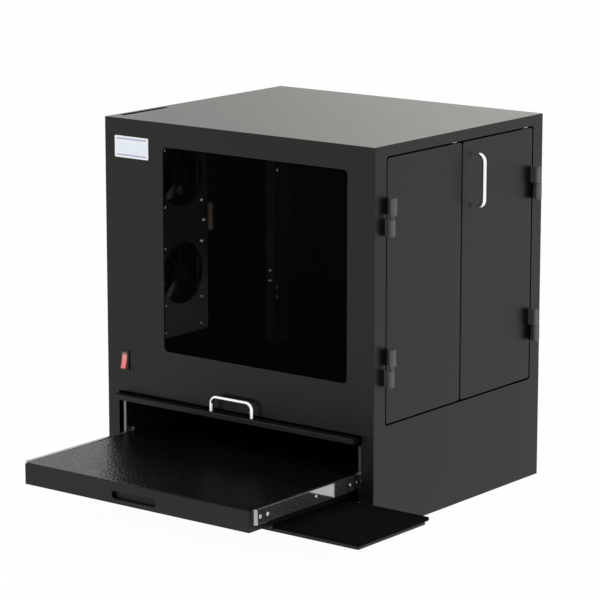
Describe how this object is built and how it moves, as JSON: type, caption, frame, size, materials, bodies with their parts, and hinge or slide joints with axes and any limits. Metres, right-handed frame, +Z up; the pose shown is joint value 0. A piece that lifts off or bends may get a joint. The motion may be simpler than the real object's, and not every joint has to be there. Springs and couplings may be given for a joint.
{
  "type": "dust-proof computer cabinet",
  "caption": "Black steel computer cabinet with a viewing window, pull-out keyboard drawer and mouse tray, pocket flap with handle, two-leaf side door, rocker switch and fan duct.",
  "frame": {"origin": "middle of the cabinet's underside, on the floor", "axes": "+X to the right seen from the front, +Y from the front to the back, +Z up"},
  "size_m": [0.7253, 0.7899, 0.67],
  "materials": {
    "black_steel": "satin black powder coat with a fine texture",
    "clear_pane": "clear, polished",
    "black_rubber": "matt",
    "bright_chrome": "polished",
    "zinc_steel": "bright zinc plate",
    "galvanised_steel": "galvanised sheet",
    "hinge_steel": "dark satin",
    "red_lens": "lit red lens",
    "black_plastic": "matt black",
    "white_plate": "white plate with pale bands",
    "textured_mat": "black textured sheet",
    "tray_board": "black, fine texture",
    "white_nylon": "white nylon",
    "filter_mat": "open grey foam",
    "fuse_ceramic": "tan ceramic",
    "fuse_metal": "grey metal",
    "grey_plastic": "dark grey"
  },
  "bodies": {
    "cabinet": {"front_panel": "black_steel", "back_panel": "black_steel", "top_panel": "black_steel", "base_panel": "black_steel", "left_panel": "black_steel", "right_panel": "black_steel", "compartment_floor": "black_steel", "door_frame": "black_steel", "door_seal": "black_rubber", "door_catches": "white_nylon", "window_seal": "black_rubber", "window_pane": "clear_pane", "window_retainer": "black_steel", "window_studs": "zinc_steel", "name_plate": "white_plate", "switch_housing": "black_plastic", "fan_duct": "black_steel", "duct_filter": "filter_mat", "fan_frames": "black_plastic", "fan_screws": "zinc_steel", "fuse_holder": "grey_plastic", "fuse_caps": "fuse_metal", "fuse_body": "fuse_ceramic", "cable_raceway": "grey_plastic", "panel_screws": "zinc_steel", "cable_grommet": "black_rubber", "frame_hinge_halves": "hinge_steel", "hinge_pins": "zinc_steel", "left_slide_bracket": "galvanised_steel", "right_slide_bracket": "galvanised_steel", "left_cabinet_slide": "zinc_steel", "right_cabinet_slide": "zinc_steel", "flap_guides": "galvanised_steel"},
    "slide_middles": {"left_middle_slide": "zinc_steel", "right_middle_slide": "zinc_steel"},
    "drawer": {"drawer_tray": "black_steel", "drawer_floor": "black_steel", "drawer_mat": "textured_mat", "drawer_pull_cup": "black_steel", "left_drawer_slide": "zinc_steel", "right_drawer_slide": "zinc_steel", "slide_screws": "zinc_steel", "tray_runners": "zinc_steel"},
    "mouse_tray": {"mouse_tray_board": "tray_board", "mouse_tray_base": "black_plastic"},
    "flap_carriage": {"flap_rod": "zinc_steel", "flap_rollers": "white_nylon"},
    "flap": {"flap_panel": "black_steel", "flap_handle": "bright_chrome", "flap_handle_screws": "zinc_steel"},
    "front_leaf": {"front_door": "black_steel", "front_door_hinge_halves": "hinge_steel"},
    "rear_leaf": {"rear_door": "black_steel", "rear_door_hinge_halves": "hinge_steel", "door_handle": "bright_chrome", "door_handle_screws": "zinc_steel"},
    "rocker": {"switch_rocker": "red_lens"},
    "lower_rotor": {"lower_fan_rotor": "black_plastic"},
    "upper_rotor": {"upper_fan_rotor": "black_plastic"}
  },
  "joints": [
    {"name": "drawer_slide", "type": "slide", "parent": "cabinet", "child": "drawer", "axis": [0, -1, 0], "range_m": [-0.008, 0.1]},
    {"name": "middle_slide", "type": "slide", "parent": "cabinet", "child": "slide_middles", "axis": [0, -1, 0], "range_m": [-0.004, 0.05]},
    {"name": "mouse_tray_slide", "type": "slide", "parent": "drawer", "child": "mouse_tray", "axis": [-1, 0, 0], "range_m": [0, 0.17]},
    {"name": "flap_slide", "type": "slide", "parent": "cabinet", "child": "flap_carriage", "axis": [0, -1, 0], "range_m": [0, 0.11]},
    {"name": "flap_tilt", "type": "hinge", "parent": "flap_carriage", "child": "flap", "pos_m": [0, -0.131, 0.162], "axis": [1, 0, 0], "range_deg": [0, 14]},
    {"name": "front_door_hinge", "type": "hinge", "parent": "cabinet", "child": "front_leaf", "pos_m": [0.3114, -0.2205, 0.418], "axis": [0, 0, -1], "range_deg": [0, 115]},
    {"name": "rear_door_hinge", "type": "hinge", "parent": "cabinet", "child": "rear_leaf", "pos_m": [0.3114, 0.223, 0.418], "axis": [0, 0, 1], "range_deg": [0, 115]},
    {"name": "switch_rock", "type": "hinge", "parent": "cabinet", "child": "rocker", "pos_m": [-0.2575, -0.255, 0.228], "axis": [1, 0, 0], "range_deg": [0, 22]},
    {"name": "lower_fan_spin", "type": "hinge", "parent": "cabinet", "child": "lower_rotor", "pos_m": [-0.28, -0.0875, 0.36275], "axis": [1, 0, 0], "continuous": true},
    {"name": "upper_fan_spin", "type": "hinge", "parent": "cabinet", "child": "upper_rotor", "pos_m": [-0.28, -0.0875, 0.54475], "axis": [1, 0, 0], "continuous": true}
  ],
  "couplings": [
    {"joint": "middle_slide", "follows": "drawer_slide", "ratio": 0.5}
  ]
}
